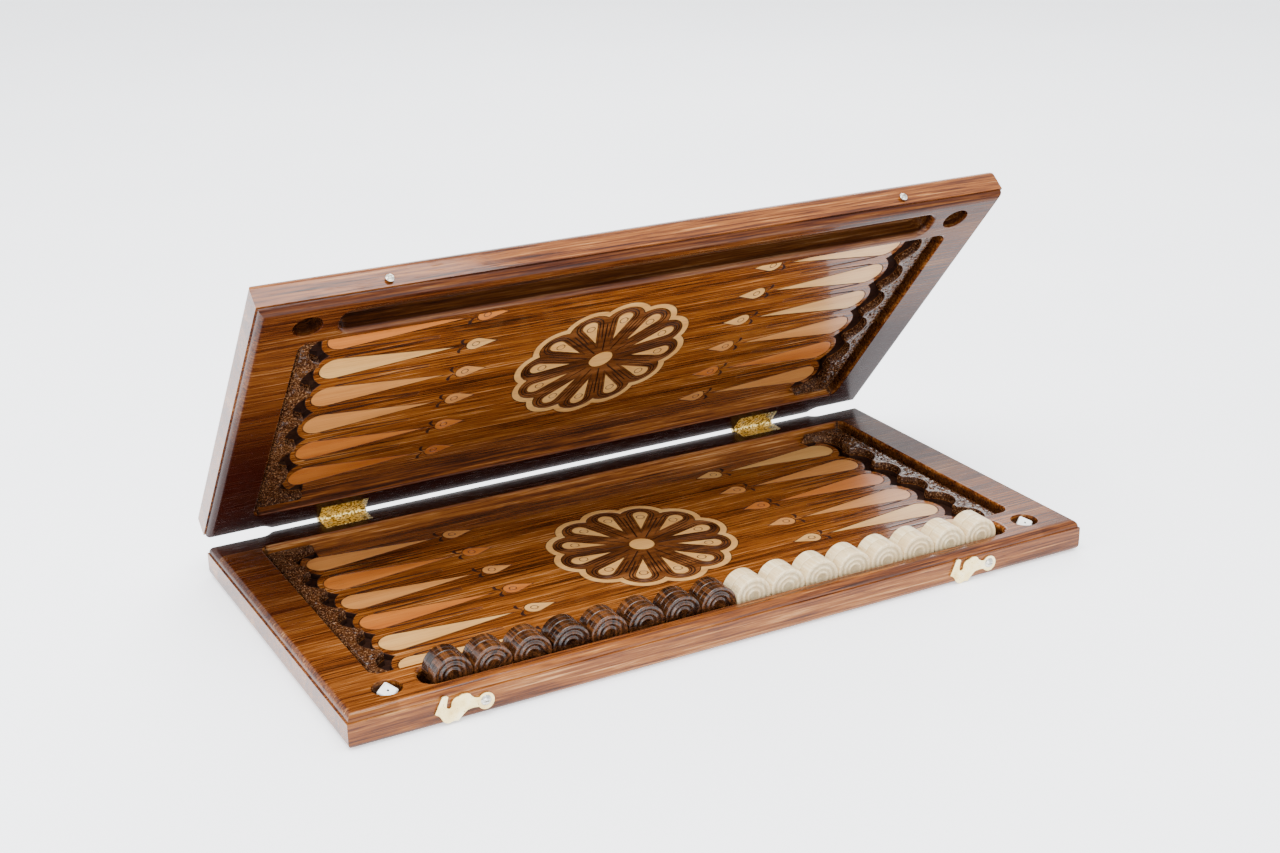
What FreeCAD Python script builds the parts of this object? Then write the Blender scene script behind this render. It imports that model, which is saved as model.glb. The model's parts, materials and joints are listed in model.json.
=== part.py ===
"""Folding backgammon set: two carved wooden halves on brass hinges, with checkers and dice.

Millimetres, +Z up. The base half lies flat with the centre of its underside at the origin.
X runs along the hinge line, Y runs from the front edge (where the latches are) to the hinge edge.

Each half is first drawn in its own flat frame: x along the length, v measured from the hinge edge
towards the front, h measured down from the closing face. The lid is the same half turned over,
hung on the hinge axis and opened by OPEN_DEG.
"""
import FreeCAD, Part
import math
import os
from FreeCAD import Placement, Rotation, Vector

# ---------------------------------------------------------------- driving dimensions
HALF_L = 600.0            # length of each half, along the hinge
HALF_D = 300.0            # depth of each half, hinge edge to front edge
HALF_T = 25.0             # thickness of each half
OPEN_DEG = 50.5           # how far the lid stands open

AXIS_BEHIND = 3.0         # hinge axis behind the back edge
CLOSED_GAP = 0.6          # gap between the closing faces when shut

EDGE_INSET = 6.5          # width of the moulded edge
EDGE_DEPTH = 6.0          # height of the moulded edge
QUIRK = 1.2               # small ledge at the foot of the moulding
OUTER_ROUND = 5.0         # rounding of the outer face's edges
BACK_MOULD_X = 258.0      # the back moulding stops here, measured from the middle
CUTTER_PILOT_R = 7.0      # radius of the cutter's run-out

POOL_X = 266.0            # playing field: half length
POOL_V = (24.0, 256.0)
POOL_DEPTH = 12.5
POOL_CORNER = 8.0
POOL_LIP = 1.25

GROOVE_X = 240.0          # checker groove: half length inside
GROOVE_V = (263.0, 286.0)
GROOVE_DEPTH = 14.5
GROOVE_CORNER = 9.0
GROOVE_LIP = 4.0

WELL_X = 263.5            # round dice wells at both ends of the groove
WELL_V = 276.8
WELL_R = 10.3

POINT_V = (49.5, 87.5, 124.5, 161.5, 197.8, 234.5)
POINT_END_X = 238.5       # round end of each point
POINT_TIP_X = 136.0
POINT_R = 12.25
DROP_END_X = 127.0        # small drops in front of the points
DROP_TIP_X = 103.0
DROP_R = 7.0
INLAY_T = 2.5

STRIP_FIELD_X = 243.0     # carved end strips
STRIP_FIELD_R = 23.9
CHANNEL_DEPTH = 16.5
RIDGE_DEPTH = 6.0
RIDGE_INNER_X = 243.5
RIDGE_OUTER_X = 262.0
RIDGE_APEX_X = 254.0
RIDGE_ARC_R = 17.5
CORNER_BLOCK_X = 227.0
CORNER_ARC_R = 20.0
TROUGH_DEPTH = 14.0

ROSETTE_V = 141.4
ROSETTE_LOBES = 12
ROSETTE_TIP_R = 74.5
ROSETTE_NOTCH_R = 68.5
ROSETTE_BAND_W = 5.5
PETAL_TIP_R = 27.0
PETAL_END_R = 62.0
PETAL_R = 6.25
DISC_R = 9.7
BASE_ROSETTE_TURN = -2.5
LID_ROSETTE_TURN = 4.0

HINGE_X = 190.4           # hinges
LEAF_W = 38.5
LEAF_D = 15.0
LEAF_T = 1.2
LEAF_PROUD = 0.2
KNUCKLES = 5
KNUCKLE_R = 2.6
KNUCKLE_GAP = 0.2
HINGE_PIN_R = 1.2
HINGE_PIN_CLEARANCE = 0.05
HINGE_PIN_HEAD = (1.9, 0.6)
LEAF_SCREW_V = 8.0
LEAF_SCREW_PITCH = 13.0
LEAF_SCREW_HEAD_R = 2.1
LEAF_SCREW_R = 1.0
LEAF_SCREW_L = 8.0

LATCH_PIVOTS = {"left": -204.8, "right": 210.4}
LATCH_Z = 10.8
LATCH_T = 1.2
LATCH_FACE_GAP = 0.15
LATCH_DROOP = {"left": 0.0, "right": -2.5}
LATCH_EYE_R = 6.0
LATCH_SCREW_R = 1.6
LATCH_SCREW_CLEARANCE = 0.05
LATCH_SCREW_HEAD = (3.8, 1.9)
LATCH_SCREW_L = 12.0
SLOT_ARC_R = 26.4         # the slot is an arc about the pivot
SLOT_HALF_W = 1.7
SLOT_FLOOR = 1.0          # how far above the pivot's height the slot bottoms out

LID_PIN_X = {"left": -207.5, "right": 207.7}
LID_PIN_H = 11.5
LID_PIN_R = 1.4
LID_PIN_NECK = 2.0
LID_PIN_HEAD = (3.1, 1.8)
LID_PIN_L = 12.0

CHECKER_R = 14.3
CHECKER_T = 10.4
CHECKER_GAP = 0.2
CHECKER_EDGE = 1.2
CHECKER_PITCH = 29.0
CHECKER_FIRST_X = -220.0
CHECKER_COLUMNS = 16
CHECKER_RINGS = ((11.6, 10.2, 0.8), (4.4, 0.0, 1.2))   # outer radius, inner radius, depth

DIE_EDGE = 11.0
DIE_ROUND = 1.4
DIE_PIP_R = 0.95
DIE_LEAN = 28.0
DICE = {"left": (-263.3, -125.2, -52.0), "right": (263.4, -125.7, -48.0)}   # x, y, turn

AXIS_Y = HALF_D / 2 + AXIS_BEHIND
AXIS_Z = HALF_T + CLOSED_GAP / 2
X_DIR = Vector(1, 0, 0)
Y_DIR = Vector(0, 1, 0)
Z_DIR = Vector(0, 0, 1)


# ---------------------------------------------------------------- flat half frame helpers
def at(x, v, h=0.0):
    """Point of a half: along, from the hinge edge, down from the closing face."""
    return Vector(x, -v, -h)


def rect_face(x0, x1, v0, v1):
    return Part.Face(Part.makePolygon([at(x0, v0), at(x1, v0), at(x1, v1), at(x0, v1), at(x0, v0)]))


def disc_face(x, v, r):
    return Part.Face(Part.Wire(Part.Circle(at(x, v), Z_DIR, r).toShape()))


def rounded_rect_face(x, v0, v1, r):
    """Rectangle of half length x between v0 and v1 with corner radius r."""
    s = r * (1 - math.sqrt(0.5))
    corners = ((x, v0, 1, 1), (x, v1, 1, -1), (-x, v1, -1, -1), (-x, v0, -1, 1))
    edges = []
    ends = []
    for cx, cv, sx, sv in corners:
        along_x = at(cx - sx * r, cv)
        along_v = at(cx, cv + sv * r)
        middle = at(cx - sx * s, cv + sv * s)
        first, last = (along_x, along_v) if sx * sv > 0 else (along_v, along_x)
        ends.append((first, middle, last))
    for i, (first, middle, last) in enumerate(ends):
        edges.append(Part.Arc(first, middle, last).toShape())
        edges.append(Part.LineSegment(last, ends[(i + 1) % 4][0]).toShape())
    return Part.Face(Part.Wire(edges))


def drop_face(x_end, x_tip, v, r):
    """Round at x_end, pointed at x_tip: a circle and its two tangents from the tip."""
    side = 1 if x_end > x_tip else -1
    centre_x = x_end - side * r
    reach = abs(centre_x - x_tip)
    half_angle = math.asin(r / reach)
    touch_x = centre_x - side * r * math.sin(half_angle)
    touch_v = r * math.cos(half_angle)
    tip = at(x_tip, v)
    low = at(touch_x, v - touch_v)
    high = at(touch_x, v + touch_v)
    edges = [
        Part.LineSegment(tip, low).toShape(),
        Part.Arc(low, at(x_end, v), high).toShape(),
        Part.LineSegment(high, tip).toShape(),
    ]
    return Part.Face(Part.Wire(edges))


def sink(face, h0, h1):
    """Prism under a face drawn at h = 0, from depth h0 to depth h1."""
    solid = face.extrude(Vector(0, 0, h0 - h1))
    solid.translate(Vector(0, 0, -h0))
    return solid


def both_ends(shape):
    return [shape, shape.mirror(Vector(0, 0, 0), X_DIR)]


# ---------------------------------------------------------------- moulded edges
def edge_profile_points():
    """Section of what the moulding removes: (inset from the side, depth)."""
    over = 2.0
    r = EDGE_INSET - QUIRK
    c = r * (1 - math.sqrt(0.5))
    return over, (EDGE_INSET, 0.0), (QUIRK + c, c), (QUIRK, r)


def edge_profile(place):
    """Closed face of the removed section, with place(inset, depth) giving each point."""
    over, top, middle, foot = edge_profile_points()
    line = [
        Part.LineSegment(place(-over, -over), place(top[0], -over)).toShape(),
        Part.LineSegment(place(top[0], -over), place(*top)).toShape(),
        Part.Arc(place(*top), place(*middle), place(*foot)).toShape(),
        Part.LineSegment(place(*foot), place(QUIRK, EDGE_DEPTH)).toShape(),
        Part.LineSegment(place(QUIRK, EDGE_DEPTH), place(-over, EDGE_DEPTH)).toShape(),
        Part.LineSegment(place(-over, EDGE_DEPTH), place(-over, -over)).toShape(),
    ]
    return Part.Face(Part.Wire(line))


def edge_cutters():
    over = 5.0
    front = edge_profile(lambda t, h: at(-HALF_L / 2 - over, HALF_D - t, h))
    cutters = [front.extrude(Vector(HALF_L + 2 * over, 0, 0))]
    side = edge_profile(lambda t, h: at(HALF_L / 2 - t, -over, h))
    cutters += both_ends(side.extrude(Vector(0, -HALF_D - 2 * over, 0)))
    back = edge_profile(lambda t, h: at(BACK_MOULD_X, t, h))
    cutters += both_ends(back.extrude(Vector(HALF_L / 2 - BACK_MOULD_X + over, 0, 0)))
    bit_axis = at(BACK_MOULD_X, -CUTTER_PILOT_R)
    cutters += both_ends(back.revolve(bit_axis, Z_DIR, 360))
    return cutters


# ---------------------------------------------------------------- carved end strips
def midpoints():
    return [(a + b) / 2 for a, b in zip(POINT_V, POINT_V[1:])]


def field_edge_face():
    """Scalloped end of the field: one lobe round each point."""
    limits = [POOL_V[0]] + midpoints() + [POOL_V[1]]
    lobes = []
    for v, v0, v1 in zip(POINT_V, limits, limits[1:]):
        lobe = disc_face(STRIP_FIELD_X - STRIP_FIELD_R, v, STRIP_FIELD_R)
        lobes.append(lobe.common(rect_face(POINT_TIP_X, STRIP_FIELD_X + 1, v0, v1)))
    return lobes


def ridge_face():
    """Stippled ridge: hollowed round each point, with flat-ended piers between."""
    plan = rect_face(RIDGE_INNER_X, RIDGE_OUTER_X, POOL_V[0], POOL_V[1])
    plan = plan.fuse(rect_face(CORNER_BLOCK_X, RIDGE_INNER_X, POOL_V[0], POINT_V[0]))
    hollows = [disc_face(CORNER_BLOCK_X, POINT_V[0], CORNER_ARC_R)]
    for v in POINT_V[1:]:
        hollows.append(disc_face(RIDGE_APEX_X - RIDGE_ARC_R, v, RIDGE_ARC_R))
    return plan.cut(hollows)


def strip_solids():
    """Ridge to add back on the field's floor, channel and trough to cut below it."""
    ridge = ridge_face()
    span = rect_face(CORNER_BLOCK_X - 4, RIDGE_OUTER_X, POOL_V[0] + 2, POOL_V[1])
    channel = span.cut([ridge] + field_edge_face())
    trough = rect_face(RIDGE_OUTER_X, POOL_X, POOL_V[0] + POOL_CORNER, POOL_V[1] - POOL_CORNER)
    return (sink(ridge, RIDGE_DEPTH, POOL_DEPTH), sink(channel, POOL_DEPTH - 1, CHANNEL_DEPTH),
            sink(trough, POOL_DEPTH - 1, TROUGH_DEPTH))


# ---------------------------------------------------------------- inlays
def point_faces():
    return [drop_face(s * POINT_END_X, s * POINT_TIP_X, v, POINT_R) for s in (-1, 1) for v in POINT_V]


def drop_faces():
    return [drop_face(s * DROP_END_X, s * DROP_TIP_X, v, DROP_R) for s in (-1, 1) for v in POINT_V]


def polar(r, deg, turn):
    a = math.radians(deg + turn)
    return at(r * math.sin(a), ROSETTE_V - r * math.cos(a))


def lobed_face(notch_r, tip_r, turn):
    step = 360 / ROSETTE_LOBES
    edges = []
    for i in range(ROSETTE_LOBES):
        start = polar(notch_r, (i - 0.5) * step, turn)
        top = polar(tip_r, i * step, turn)
        end = polar(notch_r, (i + 0.5) * step, turn)
        edges.append(Part.Arc(start, top, end).toShape())
    return Part.Face(Part.Wire(edges))


def rosette_faces(turn):
    """Lobed band, dark ground inside it, petals and middle disc, and the pocket for them all."""
    outer = lobed_face(ROSETTE_NOTCH_R, ROSETTE_TIP_R, turn)
    inner = lobed_face(ROSETTE_NOTCH_R - ROSETTE_BAND_W, ROSETTE_TIP_R - ROSETTE_BAND_W, turn)
    band = outer.cut(inner)
    disc = disc_face(0, ROSETTE_V, DISC_R)
    petals = []
    for i in range(ROSETTE_LOBES):
        petal = drop_face(PETAL_END_R, PETAL_TIP_R, 0, PETAL_R)
        petal.rotate(Vector(0, 0, 0), Z_DIR, i * 360 / ROSETTE_LOBES + 90 - turn)
        petal.translate(at(0, ROSETTE_V))
        petals.append(petal)
    ground = inner.cut(petals + [disc])
    return band, ground, petals, disc, outer


# ---------------------------------------------------------------- one half
def mouth_edges(solid, x, v0, v1):
    """Edges in the closing face that lie inside the given rectangle."""
    found = []
    for edge in solid.Edges:
        box = edge.BoundBox
        flat = box.ZMin > -0.01 and box.ZMax < 0.01
        inside = box.XMax < x and box.XMin > -x and -box.YMax > v0 and -box.YMin < v1
        if flat and inside:
            found.append(edge)
    return found


def carved_blank():
    """The block with its pool, groove and rounded mouths, before the edges are moulded."""
    block = Part.makeBox(HALF_L, HALF_D, HALF_T, Vector(-HALF_L / 2, -HALF_D, -HALF_T))
    bottom = [e for e in block.Edges if e.BoundBox.ZMax < -HALF_T + 0.01]
    block = block.makeFillet(OUTER_ROUND, bottom)
    groove = rounded_rect_face(GROOVE_X, GROOVE_V[0], GROOVE_V[1], GROOVE_CORNER)
    pool = rounded_rect_face(POOL_X, POOL_V[0], POOL_V[1], POOL_CORNER)
    block = block.cut([sink(groove, 0, GROOVE_DEPTH), sink(pool, 0, POOL_DEPTH)])
    margin = 1.0
    block = block.makeFillet(POOL_LIP, mouth_edges(block, POOL_X + margin, POOL_V[0] - margin,
                                                   POOL_V[1] + margin))
    return block.makeFillet(GROOVE_LIP, mouth_edges(block, GROOVE_X + margin, GROOVE_V[0] - margin,
                                                    GROOVE_V[1] + margin))


def leaf_recess(x):
    return sink(rect_face(x - LEAF_W / 2, x + LEAF_W / 2, -1, LEAF_D), -1, LEAF_T - LEAF_PROUD)


def leaf_screw_spots():
    return [(side * HINGE_X + step * LEAF_SCREW_PITCH, LEAF_SCREW_V)
            for side in (-1, 1) for step in (-1, 0, 1)]


def leaf_screw(x, v):
    """Countersunk screw, its head flush with the leaf."""
    top = LEAF_PROUD
    cone_h = LEAF_SCREW_HEAD_R - LEAF_SCREW_R
    head = Part.makeCone(LEAF_SCREW_R, LEAF_SCREW_HEAD_R, cone_h, at(x, v, cone_h - top))
    shank = Part.makeCylinder(LEAF_SCREW_R, LEAF_SCREW_L, at(x, v, cone_h - top + LEAF_SCREW_L))
    return head.fuse(shank)


def half_set(turn):
    """Board and its inlays in the flat half frame."""
    board = carved_blank()
    for ridge_solid, channel_solid, trough_solid in zip(*[both_ends(s) for s in strip_solids()]):
        board = board.fuse(ridge_solid).cut([channel_solid, trough_solid])
    wells = [Part.makeCylinder(WELL_R, GROOVE_DEPTH + 1, at(s * WELL_X, WELL_V, GROOVE_DEPTH))
             for s in (-1, 1)]
    screws = [leaf_screw(x, v) for x, v in leaf_screw_spots()]
    band, ground, petals, disc, rosette = rosette_faces(turn)
    plans = {
        "points": point_faces(),
        "drops": drop_faces(),
        "rosette_band": [band],
        "rosette_ground": [ground],
        "rosette_petals": petals,
        "rosette_disc": [disc],
    }
    inlays = {}
    for name, faces in plans.items():
        inlays[name] = [sink(face, POOL_DEPTH, POOL_DEPTH + INLAY_T) for face in faces]
    pockets = [sink(face, POOL_DEPTH - 0.5, POOL_DEPTH + INLAY_T)
               for face in plans["points"] + plans["drops"] + [rosette]]
    recesses = [leaf_recess(s * HINGE_X) for s in (-1, 1)]
    board = board.cut(edge_cutters()).cut(wells + recesses + screws).cut(pockets)
    return board.removeSplitter(), inlays


# ---------------------------------------------------------------- hinges
def knuckle_spans(first):
    """Ends along X, from the hinge's middle, of every other knuckle."""
    pitch = LEAF_W / KNUCKLES
    return [(-LEAF_W / 2 + i * pitch + KNUCKLE_GAP / 2, -LEAF_W / 2 + (i + 1) * pitch - KNUCKLE_GAP / 2)
            for i in range(first, KNUCKLES, 2)]


def hinge_leaf(x, first):
    """Leaf in the half frame; its knuckles take every other place from the first."""
    axis = at(x, -AXIS_BEHIND, -CLOSED_GAP / 2)
    plan = rect_face(x - LEAF_W / 2, x + LEAF_W / 2, 0, LEAF_D)
    leaf = sink(plan, -LEAF_PROUD, LEAF_T - LEAF_PROUD)
    for start, end in knuckle_spans(first):
        tongue = rect_face(x + start, x + end, -AXIS_BEHIND, 0)
        barrel = Part.makeCylinder(KNUCKLE_R, end - start, axis + Vector(start, 0, 0), X_DIR)
        leaf = leaf.fuse([sink(tongue, -LEAF_PROUD, LEAF_T - LEAF_PROUD), barrel])
    bore = Part.makeCylinder(HINGE_PIN_R + HINGE_PIN_CLEARANCE, LEAF_W + 2,
                             axis - Vector(LEAF_W / 2 + 1, 0, 0), X_DIR)
    screws = [leaf_screw(sx, sv) for sx, sv in leaf_screw_spots() if abs(sx - x) < LEAF_W]
    return leaf.cut([bore] + screws).removeSplitter()


def hinge_pin(x):
    head_r, head_t = HINGE_PIN_HEAD
    centre = Vector(x, AXIS_Y, AXIS_Z)
    pin = Part.makeCylinder(HINGE_PIN_R, LEAF_W + 0.2, centre - Vector(LEAF_W / 2 + 0.1, 0, 0), X_DIR)
    heads = [
        Part.makeCylinder(head_r, head_t, centre + Vector(LEAF_W / 2 + 0.1, 0, 0), X_DIR),
        Part.makeCylinder(head_r, head_t, centre - Vector(LEAF_W / 2 + 0.1 + head_t, 0, 0), X_DIR),
    ]
    return pin.fuse(heads)


# ---------------------------------------------------------------- latches and lid pins
def slot_point(r, height):
    """Point of a circle about the pivot, left of it, at the given height."""
    return Vector(-math.sqrt(r * r - height * height), 0, height)


def latch_outline():
    """Hook plate seen from the front, pivot at the origin: eye on the right, slot open upwards."""
    slot_in = SLOT_ARC_R - SLOT_HALF_W
    slot_out = SLOT_ARC_R + SLOT_HALF_W
    mouth = slot_point(slot_in, 4.5)
    floor_in = slot_point(slot_in, SLOT_FLOOR + SLOT_HALF_W)
    floor_mid = slot_point(SLOT_ARC_R, SLOT_FLOOR)
    floor_out = slot_point(slot_out, SLOT_FLOOR + SLOT_HALF_W)
    prong = slot_point(slot_out, 9.4)
    neck_top = Vector(-4.8, 0, 3.6)
    crest = Vector(-11.0, 0, 7.6)
    lead_in = Vector(-19.0, 0, 8.0)
    shoulder = Vector(-31.3, 0, 9.2)
    tail = Vector(-36.3, 0, -0.8)
    heel = Vector(-31.5, 0, -6.0)
    foot = Vector(-26.0, 0, -9.5)
    toe = Vector(-20.2, 0, -9.5)
    throat = Vector(-13.5, 0, -3.4)
    neck_low = Vector(-4.8, 0, -3.6)
    return [
        Part.Arc(neck_top, Vector(-8.2, 0, 4.4), crest),
        Part.Arc(crest, Vector(-14.6, 0, 9.0), lead_in),
        Part.Arc(lead_in, Vector(-22.6, 0, 7.0), mouth),
        Part.Arc(mouth, slot_point(slot_in, 3.6), floor_in),
        Part.Arc(floor_in, floor_mid, floor_out),
        Part.Arc(floor_out, slot_point(slot_out, 6.0), prong),
        Part.Arc(prong, Vector(-29.2, 0, 10.7), shoulder),
        Part.LineSegment(shoulder, tail),
        Part.Arc(tail, Vector(-33.2, 0, -3.0), heel),
        Part.Arc(heel, Vector(-29.6, 0, -8.4), foot),
        Part.Arc(foot, Vector(-23.0, 0, -8.8), toe),
        Part.Arc(toe, Vector(-17.2, 0, -6.4), throat),
        Part.Arc(throat, Vector(-9.0, 0, -2.9), neck_low),
        Part.LineSegment(neck_low, neck_top),
    ]


def latch(side):
    outline = Part.Face(Part.Wire([curve.toShape() for curve in latch_outline()]))
    plate = outline.extrude(Vector(0, -LATCH_T, 0))
    eye = Part.makeCylinder(LATCH_EYE_R, LATCH_T, Vector(0, 0, -0.4), -Y_DIR)
    hole = Part.makeCylinder(LATCH_SCREW_R + LATCH_SCREW_CLEARANCE, LATCH_T + 2, Vector(0, 1, 0), -Y_DIR)
    plate = plate.fuse(eye).cut(hole).removeSplitter()
    plate.rotate(Vector(0, 0, 0), Y_DIR, LATCH_DROOP[side])
    plate.translate(Vector(LATCH_PIVOTS[side], -HALF_D / 2 - LATCH_FACE_GAP, LATCH_Z))
    return plate


def round_head(radius, height, base_point, direction):
    """Domed screw head with a straight driver slot."""
    sphere_r = (radius * radius + height * height) / (2 * height)
    ball = Part.makeSphere(sphere_r, base_point + direction * (height - sphere_r))
    keep = Part.makeCylinder(radius, height, base_point, direction)
    slot_w = radius * 0.28
    slot = Part.makeBox(2 * radius, slot_w, height, Vector(-radius, -slot_w / 2, height * 0.55))
    slot.Placement = Placement(base_point, Rotation(Z_DIR, direction)) * slot.Placement
    return ball.common(keep).cut(slot)


def latch_screw(x):
    head_r, head_h = LATCH_SCREW_HEAD
    seat = 0.1
    reach = LATCH_FACE_GAP + LATCH_T + seat
    tip = Vector(x, -HALF_D / 2 + LATCH_SCREW_L, LATCH_Z)
    shank = Part.makeCylinder(LATCH_SCREW_R, LATCH_SCREW_L + reach, tip, -Y_DIR)
    return shank.fuse(round_head(head_r, head_h, Vector(x, -HALF_D / 2 - reach, LATCH_Z), -Y_DIR))


def lid_pin(x):
    """Round-headed pin in the lid's front edge, in the half frame."""
    head_r, head_h = LID_PIN_HEAD
    tip = at(x, HALF_D - LID_PIN_L, LID_PIN_H)
    neck = Part.makeCylinder(LID_PIN_R, LID_PIN_L + LID_PIN_NECK, tip, -Y_DIR)
    return neck.fuse(round_head(head_r, head_h, at(x, HALF_D + LID_PIN_NECK, LID_PIN_H), -Y_DIR))


# ---------------------------------------------------------------- checkers and dice
def checker_blank():
    """Turned disc about the Y axis with a ring groove and a dished middle on each face."""
    half = CHECKER_T / 2
    disc = Part.makeCylinder(CHECKER_R, CHECKER_T, Vector(0, -half, 0), Y_DIR)
    rims = [e for e in disc.Edges if e.Length > 2 * CHECKER_R and len(e.Vertexes) == 1]
    disc = disc.makeFillet(CHECKER_EDGE, rims)
    cuts = []
    for outer, inner, depth in CHECKER_RINGS:
        for face_y, way in ((-half, 1), (half, -1)):
            ring = Part.makeCylinder(outer, depth, Vector(0, face_y, 0), Y_DIR * way)
            if inner:
                ring = ring.cut(Part.makeCylinder(inner, depth, Vector(0, face_y, 0), Y_DIR * way))
            cuts.append(ring)
    return disc.cut(cuts)


def checkers():
    """Name and solid of every checker: dark ones fill the left half of the groove."""
    blank = checker_blank()
    groove_y = HALF_D / 2 - sum(GROOVE_V) / 2
    centre_z = HALF_T - GROOVE_DEPTH + CHECKER_R
    result = {}
    for column in range(CHECKER_COLUMNS):
        shade = "dark" if column < CHECKER_COLUMNS // 2 else "light"
        for row, way in ((1, -1), (2, 1)):
            piece = blank.copy()
            y = groove_y + way * (CHECKER_T + CHECKER_GAP) / 2
            piece.translate(Vector(CHECKER_FIRST_X + column * CHECKER_PITCH, y, centre_z))
            number = (column % (CHECKER_COLUMNS // 2)) * 2 + row
            result["checker_%s_%02d" % (shade, number)] = piece
    return result


def pip_layout(count):
    """Places of the pips on one face, in half steps from its middle."""
    diagonal = [(-1, -1), (1, 1)]
    other = [(-1, 1), (1, -1)]
    middle = [(0, 0)]
    sides = [(-1, 0), (1, 0)]
    return {1: middle, 2: diagonal, 3: diagonal + middle, 4: diagonal + other,
            5: diagonal + other + middle, 6: diagonal + other + sides}[count]


def die(side):
    """Rounded cube lying tilted on one corner in its well, the one-pip face up."""
    x, y, turn = DICE[side]
    half = DIE_EDGE / 2
    cube = Part.makeBox(DIE_EDGE, DIE_EDGE, DIE_EDGE, Vector(-half, -half, -half))
    cube = cube.makeFillet(DIE_ROUND, cube.Edges)
    faces = ((1, Z_DIR), (6, -Z_DIR), (2, X_DIR), (5, -X_DIR), (3, Y_DIR), (4, -Y_DIR))
    step = DIE_EDGE * 0.25
    pips = []
    for count, normal in faces:
        turn_to = Rotation(Z_DIR, normal)
        for a, b in pip_layout(count):
            spot = turn_to.multVec(Vector(a * step, b * step, half + DIE_PIP_R * 0.5))
            pips.append(Part.makeSphere(DIE_PIP_R, spot))
    cube = cube.cut(pips)
    cube.rotate(Vector(0, 0, 0), Z_DIR, turn)
    cube.rotate(Vector(0, 0, 0), X_DIR, DIE_LEAN)
    floor_z = HALF_T - GROOVE_DEPTH
    cube.translate(Vector(x, y, floor_z - cube.optimalBoundingBox().ZMin))
    return cube


# ---------------------------------------------------------------- placing the halves
BASE_PLACE = Placement(Vector(0, HALF_D / 2, HALF_T), Rotation())


def lid_place():
    turned = Placement(Vector(0, HALF_D / 2, HALF_T + CLOSED_GAP), Rotation(Y_DIR, 180))
    swing = Placement(Vector(0, 0, 0), Rotation(X_DIR, -OPEN_DEG), Vector(0, AXIS_Y, AXIS_Z))
    return swing * turned


def placed(shape, place):
    copy = shape.copy()
    copy.Placement = place * copy.Placement
    return copy


def write(name, solids):
    shape = Part.makeCompound(solids) if len(solids) > 1 else solids[0]
    for solid in solids:
        if len(solid.Solids) != 1 or not solid.isValid():
            print("check", name, len(solid.Solids), solid.isValid())
    shape.exportStep("parts/%s.step" % name)


def main():
    os.makedirs("parts", exist_ok=True)
    places = {
        "base": (BASE_PLACE, BASE_ROSETTE_TURN, 0),
        "lid": (lid_place(), LID_ROSETTE_TURN, 1),
    }
    pins = [lid_pin(-x) for x in LID_PIN_X.values()]
    latch_screws = [latch_screw(x) for x in LATCH_PIVOTS.values()]
    for half, (place, turn, first_knuckle) in places.items():
        board, inlays = half_set(turn)
        if half == "lid":
            board = board.cut(pins)
        board = placed(board, place)
        if half == "base":
            board = board.cut(latch_screws)
        write("board_" + half, board.Solids)
        for name, solids in inlays.items():
            write("%s_%s" % (name, half), [placed(s, place) for s in solids])
        screws = [leaf_screw(x, v) for x, v in leaf_screw_spots()]
        write("hinge_screws_" + half, [placed(s, place) for s in screws])
        for side, sign in (("left", -1), ("right", 1)):
            local = -sign if half == "lid" else sign
            leaf = hinge_leaf(local * HINGE_X, first_knuckle)
            write("hinge_leaf_%s_%s" % (half, side), [placed(leaf, place)])
    for side, sign in (("left", -1), ("right", 1)):
        write("hinge_pin_" + side, [hinge_pin(sign * HINGE_X)])
        write("latch_" + side, [latch(side)])
        write("die_" + side, [die(side)])
    write("latch_screws", latch_screws)
    write("lid_pins", [placed(pin, places["lid"][0]) for pin in pins])
    for name, solid in checkers().items():
        write(name, [solid])


main()
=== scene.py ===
import json
import math
import random

import bmesh
import bpy
from mathutils import Matrix, Vector
from mathutils.geometry import delaunay_2d_cdt


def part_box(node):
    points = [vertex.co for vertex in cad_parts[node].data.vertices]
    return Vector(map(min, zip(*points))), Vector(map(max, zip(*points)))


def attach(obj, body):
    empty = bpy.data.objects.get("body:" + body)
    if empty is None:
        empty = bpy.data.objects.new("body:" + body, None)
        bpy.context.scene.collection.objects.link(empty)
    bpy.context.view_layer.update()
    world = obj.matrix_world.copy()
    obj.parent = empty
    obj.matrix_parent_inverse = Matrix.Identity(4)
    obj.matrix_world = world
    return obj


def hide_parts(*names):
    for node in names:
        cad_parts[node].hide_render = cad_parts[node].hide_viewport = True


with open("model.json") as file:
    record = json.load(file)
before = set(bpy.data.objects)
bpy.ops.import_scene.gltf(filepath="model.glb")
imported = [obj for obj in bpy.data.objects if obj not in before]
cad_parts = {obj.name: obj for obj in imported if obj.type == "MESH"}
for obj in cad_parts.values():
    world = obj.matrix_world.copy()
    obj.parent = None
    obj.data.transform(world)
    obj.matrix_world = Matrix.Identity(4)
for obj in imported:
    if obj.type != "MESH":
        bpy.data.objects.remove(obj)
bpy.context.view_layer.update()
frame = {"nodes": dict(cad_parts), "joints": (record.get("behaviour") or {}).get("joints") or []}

MM = 0.001

# ---------------------------------------------------------------- sizes, from the frame
base_low, base_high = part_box("board_base")
HALF_L = (base_high.x - base_low.x) / MM
HALF_D = (base_high.y - base_low.y) / MM
HALF_T = (base_high.z - base_low.z) / MM
HINGE = next(j for j in frame["joints"] if j["name"] == "lid_hinge")
AXIS = Vector(HINGE["pos_m"])
OPEN_ANGLE = math.radians(-HINGE["range_deg"][0])
CLOSED_GAP = 2 * (AXIS.z / MM - HALF_T)

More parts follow.
